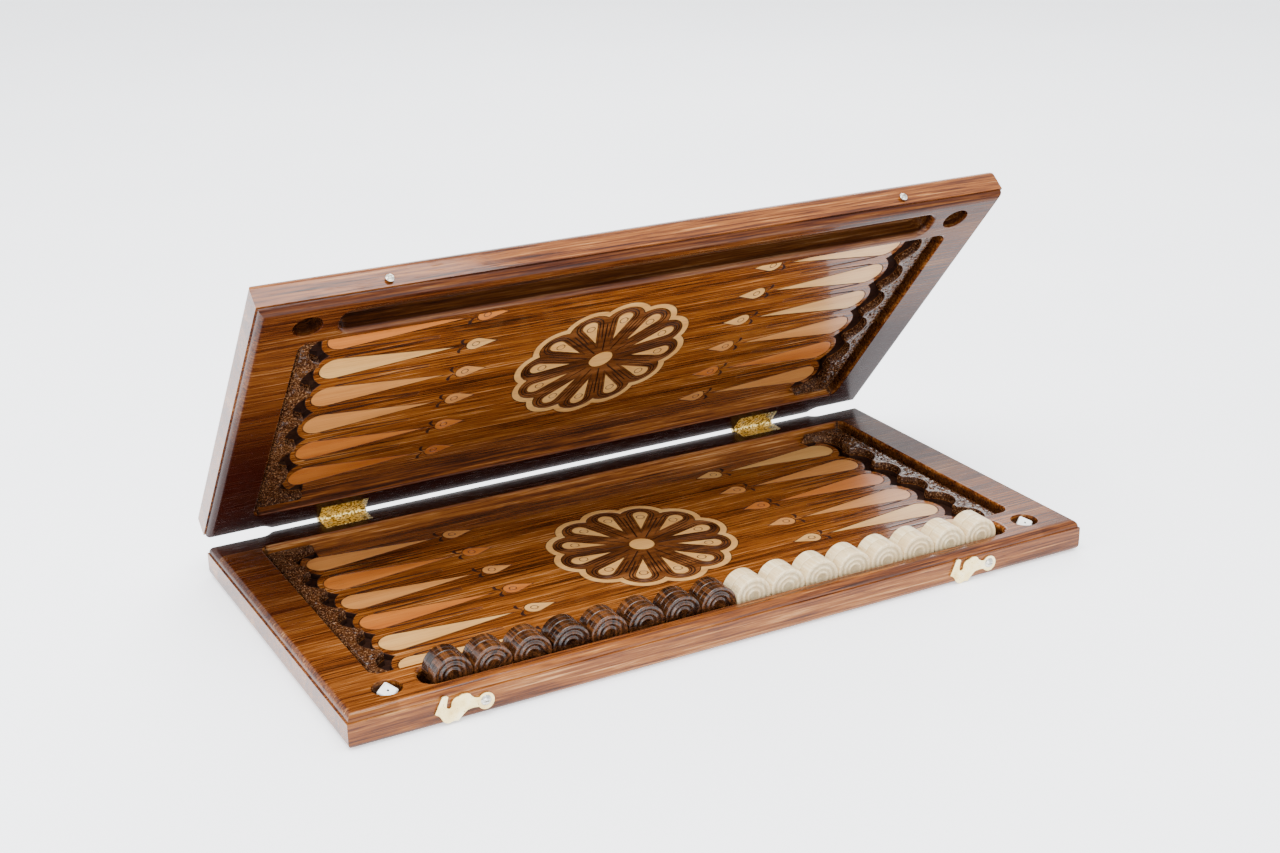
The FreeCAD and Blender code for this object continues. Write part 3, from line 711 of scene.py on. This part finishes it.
def field_plan(nodes, reach, down):
    """1 within the field's outline, its lip included."""
    return nodes.times(nodes.between(reach, POOL_X + 1.4, POOL_X + 0.4),
                       nodes.between(down, POOL_V[0] - 1.2, POOL_V[0] - 0.2),
                       nodes.between(down, POOL_V[1] + 1.5, POOL_V[1] + 0.5))


def groove_plan(nodes, reach, down):
    """1 within the strip that the checker groove and the wells lie in."""
    return nodes.times(nodes.between(down, GROOVE_V[0] - 2.5, GROOVE_V[0] - 1.5),
                       nodes.between(down, GROOVE_V[1] + 4.5, GROOVE_V[1] + 3.5),
                       nodes.between(reach, WELL_X + 12.5, WELL_X + 11.5))


def carving_top(nodes, reach, down, depth):
    """1 on the end carving, where it stands above the field."""
    return nodes.times(nodes.between(reach, NOTCH_X + 0.5, NOTCH_X + 1.5),
                       nodes.between(reach, RIDGE_OUTER_X + 1.0, RIDGE_OUTER_X + 0.6),
                       nodes.between(down, POOL_V[0], POOL_V[0] + 0.6),
                       nodes.between(down, POOL_V[1] + 1.5, POOL_V[1] + 0.5),
                       nodes.between(depth, POOL_DEPTH - 0.05, POOL_DEPTH - 0.5))


def cut_below(nodes, depth, top):
    """1 in the cuts that go below a flat top."""
    return nodes.between(depth, top + 0.015, top + 0.1)


def board_wood(seed, ends, front):
    """Glossy reddish-brown wood, granular with painted glints on the end carving; painted shade and dark
    reflection on the rims, painted shade near black in the deep cuts and the sunk channel, and on the walls
    of the hollows.
    ends and front say how strong the painted rim shade is on those rims."""
    nodes = Nodes("board_wood_" + str(seed))
    streaks, fibres, pores = grain(nodes, "x", seed)
    tone = nodes.weighed(streaks, 0.44, fibres, 0.60)
    colour = nodes.ramp(tone, [(0.39, (0.014, 0.0035, 0.0012)), (0.46, (0.062, 0.015, 0.003)),
                               (0.52, (0.135, 0.037, 0.006)), (0.59, (0.220, 0.073, 0.013)),
                               (0.68, (0.430, 0.215, 0.080))])
    colour = nodes.mix(nodes.times(pores, 0.55), colour, (0.035, 0.009, 0.003))
    reach, down, depth = nodes.millimetres()
    on_face = nodes.between(depth, EDGE_DEPTH + 0.5, EDGE_DEPTH - 0.5)
    # painted shade and dark reflection of the other half on the rims, strongest along the hinge edge
    rim = nodes.times(painted_rim_shade(nodes, reach, down, ends, front), on_face)
    colour = nodes.mix(rim, colour, (0.014, 0.0015, 0.001))
    plan = field_plan(nodes, reach, down)
    above_back = nodes.between(depth, CHANNEL_DEPTH + 2.0, CHANNEL_DEPTH + 0.5)
    # painted shade, near black, in the cuts and the sunk channel below the field
    cut_shade = nodes.times(cut_below(nodes, depth, POOL_DEPTH), plan, above_back)
    colour = nodes.mix(nodes.times(cut_shade, 0.93), colour, (0.010, 0.004, 0.003))
    end_walls = nodes.times(plan, nodes.between(reach, RIDGE_OUTER_X + 0.8, RIDGE_OUTER_X + 1.2))
    walls = nodes.most(end_walls, groove_plan(nodes, reach, down))
    shade = nodes.times(walls, nodes.between(depth, 1.2, 4.0), above_back, 0.72)
    colour = nodes.mix(shade, colour, (0.012, 0.004, 0.002))
    carved = carving_top(nodes, reach, down, depth)
    speckle = nodes.noise(nodes.place, 700.0, 3.0, 0.7)
    # dark speckle whose pale specks are painted glints on the stippled end carving
    grit_and_glints = nodes.ramp(speckle, [(0.42, (0.005, 0.002, 0.0015)), (0.55, (0.030, 0.010, 0.004)),
                                (0.64, (0.22, 0.125, 0.065))])
    colour = nodes.mix(nodes.times(carved, 0.85), colour, grit_and_glints)
    height = nodes.minus(nodes.times(fibres, 0.4), pores)
    nodes.bump(nodes.plus(height, nodes.times(speckle, carved, 3.0)), 0.00005, 0.5)
    rough = nodes.plus(nodes.weighed(fibres, 0.2, cut_shade, 0.5), 0.15)
    gloss = nodes.times(nodes.minus(1.0, nodes.most(cut_shade, rim)), 0.42)
    return nodes.finish(colour, rough, gloss, 0.06, specular=0.08)


def inlay_wood(name, pale, deep, seed):
    """Close-grained pale wood, with painted shade in its cuts."""
    nodes = Nodes(name)
    streaks, fibres, pores = grain(nodes, "x", seed)
    middle = tuple((a + b) / 2 for a, b in zip(pale, deep))
    tone = nodes.weighed(streaks, 0.6, fibres, 0.45)
    colour = nodes.ramp(tone, [(0.38, deep), (0.52, middle), (0.68, pale)])
    colour = nodes.mix(nodes.times(pores, 0.35), colour, tuple(c * 0.4 for c in deep))
    _, _, depth = nodes.millimetres()
    # painted shade in the cuts
    cut_shade = cut_below(nodes, depth, POOL_DEPTH)
    colour = nodes.mix(nodes.times(cut_shade, 0.9), colour, (0.03, 0.010, 0.005))
    nodes.bump(nodes.minus(fibres, pores), 0.00008, 0.5)
    return nodes.finish(colour, nodes.plus(nodes.times(fibres, 0.2), 0.28), 0.3, 0.18)


def ground_wood():
    """Dark wood between the petals, with painted shade, near black, in its cuts."""
    nodes = Nodes("rosette_ground_wood")
    streaks, fibres, pores = grain(nodes, "x", 3.0)
    tone = nodes.weighed(streaks, 0.6, fibres, 0.4)
    colour = nodes.ramp(tone, [(0.40, (0.022, 0.006, 0.002)), (0.50, (0.090, 0.027, 0.006)),
                               (0.62, (0.190, 0.070, 0.020))])
    _, _, depth = nodes.millimetres()
    # painted shade, near black, in the cuts
    cut_shade = cut_below(nodes, depth, GROUND_DEPTH)
    colour = nodes.mix(nodes.times(cut_shade, 0.9), colour, (0.008, 0.003, 0.002))
    nodes.bump(nodes.minus(fibres, pores), 0.0001, 0.5)
    return nodes.finish(colour, 0.35, nodes.times(nodes.minus(1.0, cut_shade), 0.25), 0.14, specular=0.08)


def brass():
    """Pale lacquered brass with handling marks."""
    nodes = Nodes("pale_brass")
    clouds = nodes.noise(nodes.place, 90.0, 4.0, 0.6)
    hairs = nodes.noise(nodes.scaled(2600.0, 260.0, 700.0), 1.0, 2.0, 0.5)
    spots = nodes.noise(nodes.place, 900.0, 3.0, 0.6)
    colour = nodes.ramp(clouds, [(0.3, (0.66, 0.46, 0.16)), (0.5, (0.90, 0.72, 0.34)),
                                 (0.72, (0.98, 0.88, 0.58))])
    colour = nodes.mix(nodes.between(spots, 0.62, 0.7), colour, (0.35, 0.22, 0.10))
    nodes.bump(nodes.plus(hairs, spots), 0.00004, 0.6)
    return nodes.finish(colour, nodes.plus(nodes.times(hairs, 0.22), 0.2), metallic=1.0)


def stamped_brass():
    """Bright brass pressed all over with a small knotted pattern."""
    nodes = Nodes("stamped_brass")
    cells = nodes.tree.nodes.new("ShaderNodeTexVoronoi")
    cells.feature = "SMOOTH_F1"
    cells.inputs["Scale"].default_value = 620.0
    nodes.link(nodes.place, cells.inputs["Vector"])
    knots = nodes.between(cells.outputs["Distance"], 0.62, 0.25)
    clouds = nodes.noise(nodes.place, 160.0, 3.0)
    colour = nodes.ramp(knots, [(0.1, (0.22, 0.13, 0.025)), (0.45, (0.72, 0.50, 0.13)),
                                (0.85, (0.98, 0.80, 0.36))])
    nodes.bump(knots, 0.00025, 0.9)
    return nodes.finish(colour, nodes.plus(nodes.times(clouds, 0.25), 0.2), metallic=1.0)


def screw_metal():
    """Warm grey plated metal."""
    nodes = Nodes("screw_metal")
    clouds = nodes.noise(nodes.place, 700.0, 3.0)
    colour = nodes.ramp(clouds, [(0.3, (0.42, 0.39, 0.33)), (0.7, (0.80, 0.77, 0.68))])
    nodes.bump(clouds, 0.00003, 0.5)
    return nodes.finish(colour, nodes.plus(nodes.times(clouds, 0.2), 0.18), metallic=1.0)


def checker_wood(name, pale, deep, coat):
    """Turned wood under a clear finish, a little different on each piece, with painted shade in the sunk
    rings of its faces.
    """
    nodes = Nodes(name)
    which = nodes.tree.nodes.new("ShaderNodeObjectInfo").outputs["Random"]
    _, fibres, pores = grain(nodes, "y", 5.0)
    bands = nodes.noise(nodes.scaled(30.0, 30.0, 420.0), 1.0, 4.0, 0.6, 0.7)
    tone = nodes.weighed(bands, 0.5, fibres, 0.4)
    tone = nodes.plus(tone, nodes.times(nodes.minus(which, 0.3), 0.07))
    middle = tuple(0.35 * a + 0.65 * b for a, b in zip(pale, deep))
    colour = nodes.ramp(tone, [(0.40, deep), (0.48, middle), (0.58, pale)])
    colour = nodes.mix(nodes.times(pores, 0.4), colour, tuple(c * 0.5 for c in deep))
    x, y, z = nodes.split()
    radius = nodes.math("SQRT", nodes.plus(nodes.times(x, x), nodes.times(z, z)))
    # painted shade in the sunk rings and the dish of each face
    below_beads = nodes.between(nodes.math("ABSOLUTE", y), 0.00500, 0.00460)
    rings = nodes.times(below_beads, nodes.between(radius, 0.0126, 0.0122))
    colour = nodes.mix(nodes.times(rings, 0.4), colour, tuple(c * 0.45 for c in deep))
    nodes.bump(nodes.minus(fibres, pores), 0.00006, 0.5)
    return nodes.finish(colour, nodes.plus(nodes.times(fibres, 0.15), 0.18), coat, 0.08)


def die_white():
    """Slightly warm white plastic."""
    nodes = Nodes("die_white")
    clouds = nodes.noise(nodes.place, 240.0, 3.0)
    specks = nodes.noise(nodes.place, 2600.0, 2.0)
    colour = nodes.ramp(clouds, [(0.3, (0.80, 0.78, 0.72)), (0.7, (0.92, 0.91, 0.87))])
    nodes.bump(specks, 0.00003, 0.4)
    return nodes.finish(colour, nodes.plus(nodes.times(specks, 0.15), 0.22), 0.4, 0.08)


def pip_black():
    """Black paint in the pips."""
    nodes = Nodes("pip_black")
    clouds = nodes.noise(nodes.place, 1500.0, 3.0)
    colour = nodes.ramp(clouds, [(0.3, (0.008, 0.008, 0.009)), (0.7, (0.03, 0.03, 0.032))])
    nodes.bump(clouds, 0.00003, 0.4)
    return nodes.finish(colour, nodes.plus(nodes.times(clouds, 0.3), 0.3))


# ---------------------------------------------------------------- pieces on the CAD shapes
# pips lie within this share of a face's half width, and deeper than this below it, in metres
PIP_SPREAD, PIP_SINK = 0.76, 0.00003


def paint(node, material):
    """Make this the node's only material."""
    slots = node.data.materials
    slots.clear()
    slots.append(material)


def flat_axes(mesh):
    """Three directions square to each other that most of the mesh's area faces."""
    areas = {}
    for face in mesh.polygons:
        key = tuple(round(c, 2) + 0.0 for c in face.normal)
        areas[key] = areas.get(key, 0.0) + face.area
    axes = []
    for key in sorted(areas, key=areas.get, reverse=True):
        axis = Vector(key).normalized()
        if len(axes) < 3 and all(abs(axis.dot(other)) < 0.1 for other in axes):
            axes.append(axis)
    return axes


def painted_die(name, white, black):
    """The die with the hollows of its pips filled with black paint."""
    mesh = frame["nodes"][name].data.copy()
    obj = bpy.data.objects.new(name + "_painted", mesh)
    bpy.context.scene.collection.objects.link(obj)
    mesh.materials.clear()
    mesh.materials.append(white)
    mesh.materials.append(black)
    low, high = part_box(name)
    centre = (low + high) / 2
    axes = flat_axes(mesh)
    half = max(abs((v.co - centre).dot(axis)) for v in mesh.vertices for axis in axes)
    for face in mesh.polygons:
        _, second, furthest = sorted(abs((face.center - centre).dot(axis)) for axis in axes)
        in_pip = second < PIP_SPREAD * half and furthest < half - PIP_SINK
        face.material_index = 1 if in_pip else 0
    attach(obj, name)
    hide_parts(name)


def checker_profile(radius, half):
    """(radius, y) from the middle of one face round to the middle of the other."""
    dish = [(0.0, -0.9), (2.0, -0.85), (3.6, -0.55)]
    inner_bead = [(4.4, -0.1), (4.9, 0.0), (5.4, -0.15), (5.8, -0.5), (7.2, -0.5)]
    middle_bead = [(7.6, -0.2), (8.1, 0.0), (8.7, 0.0), (9.2, -0.2), (9.6, -0.55), (10.2, -0.8)]
    outer_bead = [(10.9, -0.8), (11.5, -0.3), (12.0, 0.0)]
    for k in range(7):
        a = math.radians(15 * k)
        outer_bead.append((radius - 1.0 + math.sin(a), math.cos(a) - 1.0))
    face = [(r, half + rise) for r, rise in dish + inner_bead + middle_bead + outer_bead]
    seam = [(radius, 0.4), (radius - 0.35, 0.15), (radius - 0.35, -0.15), (radius, -0.4)]
    return face + seam + [(r, -y) for r, y in reversed(face)]


def checker_mesh(radius, half, segments=72):
    """Turned checker about its y axis: eased rim, three beads and a dished middle on both faces."""
    profile = checker_profile(radius, half)
    points, faces = [], []
    for r, y in profile[1:-1]:
        for k in range(segments):
            a = 2 * math.pi * k / segments
            points.append((r * math.cos(a) * MM, y * MM, r * math.sin(a) * MM))
    for i in range(len(profile) - 3):
        for k in range(segments):
            j = (k + 1) % segments
            faces.append((i * segments + k, i * segments + j, (i + 1) * segments + j, (i + 1) * segments + k))
    for first, middle in ((0, profile[0]), ((len(profile) - 3) * segments, profile[-1])):
        hub = len(points)
        points.append((0.0, middle[1] * MM, 0.0))
        faces += [(first + k, first + (k + 1) % segments, hub) for k in range(segments)]
    mesh = bpy.data.meshes.new("checker")
    mesh.from_pydata(points, [], faces)
    work = bmesh.new()
    work.from_mesh(mesh)
    bmesh.ops.recalc_face_normals(work, faces=work.faces)
    work.to_mesh(mesh)
    work.free()
    mesh.polygons.foreach_set("use_smooth", [True] * len(mesh.polygons))
    mesh.set_sharp_from_angle(angle=math.radians(50))
    return mesh


def turned_checkers(colour, material, dice):
    """Every checker of one colour, each set in its groove at its own turn."""
    names = sorted(n for n in frame["nodes"] if n.startswith("checker_" + colour))
    low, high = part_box(names[0])
    mesh = checker_mesh((high.x - low.x) / 2 / MM, (high.y - low.y) / 2 / MM)
    mesh.materials.append(material)
    for name in names:
        low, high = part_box(name)
        obj = bpy.data.objects.new(name.replace("checker", "turned"), mesh)
        bpy.context.scene.collection.objects.link(obj)
        turn = Matrix.Rotation(dice.uniform(0, 2 * math.pi), 4, "Y")
        obj.matrix_world = Matrix.Translation((low + high) / 2) @ turn
        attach(obj, name)
        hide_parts(name)


# ---------------------------------------------------------------- putting it together
# each gives a list with one outline(grow) for each inlay of its kind
def petal_outlines(half):
    return [lambda grow, i=i: turned(petal(i, grow), ROSETTE_TURN[half]) for i in range(LOBES)]


def point_outlines():
    return [lambda grow, s=s, v=v: drop(s * POINT_END_X, s * POINT_TIP_X, v, POINT_R, grow)
            for s in (-1, 1) for v in POINT_V]


def drop_outlines():
    return [lambda grow, s=s, v=v: drop(s * DROP_END_X, s * DROP_TIP_X, v, DROP_R, grow, 16)
            for s in (-1, 1) for v in POINT_V]


# tones of the points, hinge side first, one end then the other: 0 cream, 1 tan, 2 orange
POINT_TONES = {"base": (1, 2, 1, 2, 0, 0, 0, 1, 2, 1, 0, 0), "lid": (1, 2, 1, 0, 0, 0, 2, 2, 1, 1, 0, 2)}

# strength of the painted rim shade and reflection on the ends and on the front of each half
RIM_SHADE = {"base": (0.30, 0.0), "lid": (0.52, 0.6)}

cream = inlay_wood("inlay_cream", (0.62, 0.36, 0.12), (0.42, 0.19, 0.045), 1.0)
tan = inlay_wood("inlay_tan", (0.53, 0.24, 0.065), (0.33, 0.115, 0.024), 2.0)
orange = inlay_wood("inlay_orange", (0.48, 0.165, 0.030), (0.29, 0.072, 0.010), 4.0)
tones = [cream, tan, orange]
metal = brass()
stamped = stamped_brass()
steel = screw_metal()
dark_ground = ground_wood()

drop_eyes = [(side * DROP_EYE_X, v, DROP_EYE_R) for side in (-1, 1) for v in POINT_V]
for number, half in enumerate(("base", "lid")):
    half_board(half, board_wood(number + 1, *RIM_SHADE[half]))
    inlay_tones = POINT_TONES[half]
    raised("points_carved_" + half, half, point_outlines(), inlay_tones, [], tones, "points_" + half)
    raised("drops_carved_" + half, half, drop_outlines(), inlay_tones, drop_eyes, tones, "drops_" + half)
    eye_spots = turned([polar(PETAL_EYE_AT, -i * 360 / LOBES) for i in range(LOBES)], ROSETTE_TURN[half])
    petal_eyes = [(x, v, PETAL_EYE_R) for x, v in eye_spots]
    raised("petals_" + half, half, petal_outlines(half), [0] * LOBES, petal_eyes, tones,
           "rosette_petals_" + half)
    band(half, cream)
    ground(half, dark_ground)

dark_checker = checker_wood("checker_dark_wood", (0.12, 0.040, 0.010), (0.007, 0.002, 0.001), 0.35)
light_checker = checker_wood("checker_light_wood", (0.80, 0.68, 0.43), (0.64, 0.47, 0.25), 0.3)
turned_checkers("dark", dark_checker, random.Random(3))
turned_checkers("light", light_checker, random.Random(4))
for name, node in frame["nodes"].items():
    if name.startswith("rosette_disc"):
        paint(node, cream)
    elif name.startswith(("hinge_leaf", "hinge_pin")):
        paint(node, stamped)
    elif name.startswith(("hinge", "latch_screws", "lid_pins")):
        paint(node, steel)
    elif name.startswith("latch"):
        paint(node, metal)
        ease = node.modifiers.new("eased_edges", "BEVEL")
        ease.width = 0.0001
        ease.segments = 2
        ease.limit_method = "ANGLE"
white, black = die_white(), pip_black()
for name in ("die_left", "die_right"):
    painted_die(name, white, black)


# ---------------------------------------------------------------- studio
def pale_floor():
    """Floor so wide that its edge is out of sight, with a glow of its own that keeps it pale."""
    size = 40.0
    mesh = bpy.data.meshes.new("floor")
    corners = [(-size, -size), (size, -size), (size, size), (-size, size)]
    mesh.from_pydata([(x, y, -0.0002) for x, y in corners], [], [(0, 1, 2, 3)])
    floor = bpy.data.objects.new("floor", mesh)
    bpy.context.scene.collection.objects.link(floor)
    nodes = Nodes("pale_floor")
    clouds = nodes.noise(nodes.place, 3.0, 3.0)
    colour = nodes.ramp(clouds, [(0.3, (0.86, 0.87, 0.90)), (0.7, (0.90, 0.91, 0.93))])
    nodes.shader.inputs["Emission Color"].default_value = (0.95, 0.97, 1.0, 1)
    nodes.shader.inputs["Emission Strength"].default_value = 0.9
    mesh.materials.append(nodes.finish(colour, 0.5))


def lamp(name, place, target, size, power):
    """Rectangular softbox that shines from a place towards a target."""
    data = bpy.data.lights.new(name, "AREA")
    data.shape = "RECTANGLE"
    data.size, data.size_y = size
    data.energy = power
    light = bpy.data.objects.new(name, data)
    light.location = place
    light.rotation_mode = "QUATERNION"
    light.rotation_quaternion = (Vector(target) - Vector(place)).to_track_quat("-Z", "Y")
    bpy.context.scene.collection.objects.link(light)


def camera():
    """Three-quarter view from the front left, a little above."""
    data = bpy.data.cameras.new("camera")
    data.lens, data.sensor_width = 52.3, 36.0
    data.clip_start, data.clip_end = 0.02, 50.0
    obj = bpy.data.objects.new("camera", data)
    right = Vector((0.87522, -0.48354, -0.01341))
    down = Vector((-0.18340, -0.30605, -0.93418))
    ahead = Vector((0.44761, 0.82008, -0.35654))
    turn = Matrix((right, -down, -ahead)).transposed().to_4x4()
    obj.matrix_world = Matrix.Translation((-0.62797, -1.14157, 0.60964)) @ turn
    bpy.context.scene.collection.objects.link(obj)
    bpy.context.scene.camera = obj


def studio():
    """Pale surroundings, the floor and four softboxes."""
    world = bpy.data.worlds.new("studio")
    world.use_nodes = True
    background = world.node_tree.nodes["Background"]
    background.inputs["Color"].default_value = (0.95, 0.97, 1.0, 1)
    background.inputs["Strength"].default_value = 1.9
    bpy.context.scene.world = world
    pale_floor()
    lamp("softbox_top", (-0.3, -0.3, 2.2), (0, 0.1, 0), (1.8, 1.4), 90)
    lamp("softbox_left", (-2.0, 0.2, 1.1), (0, 0.2, 0.15), (1.2, 1.6), 40)
    lamp("softbox_front", (-0.5, -2.2, 0.5), (0, -0.15, 0), (1.6, 0.5), 22)
    lamp("softbox_back", (1.2, 1.8, 1.6), (0, 0.2, 0.1), (1.4, 1.0), 30)


studio()
camera()
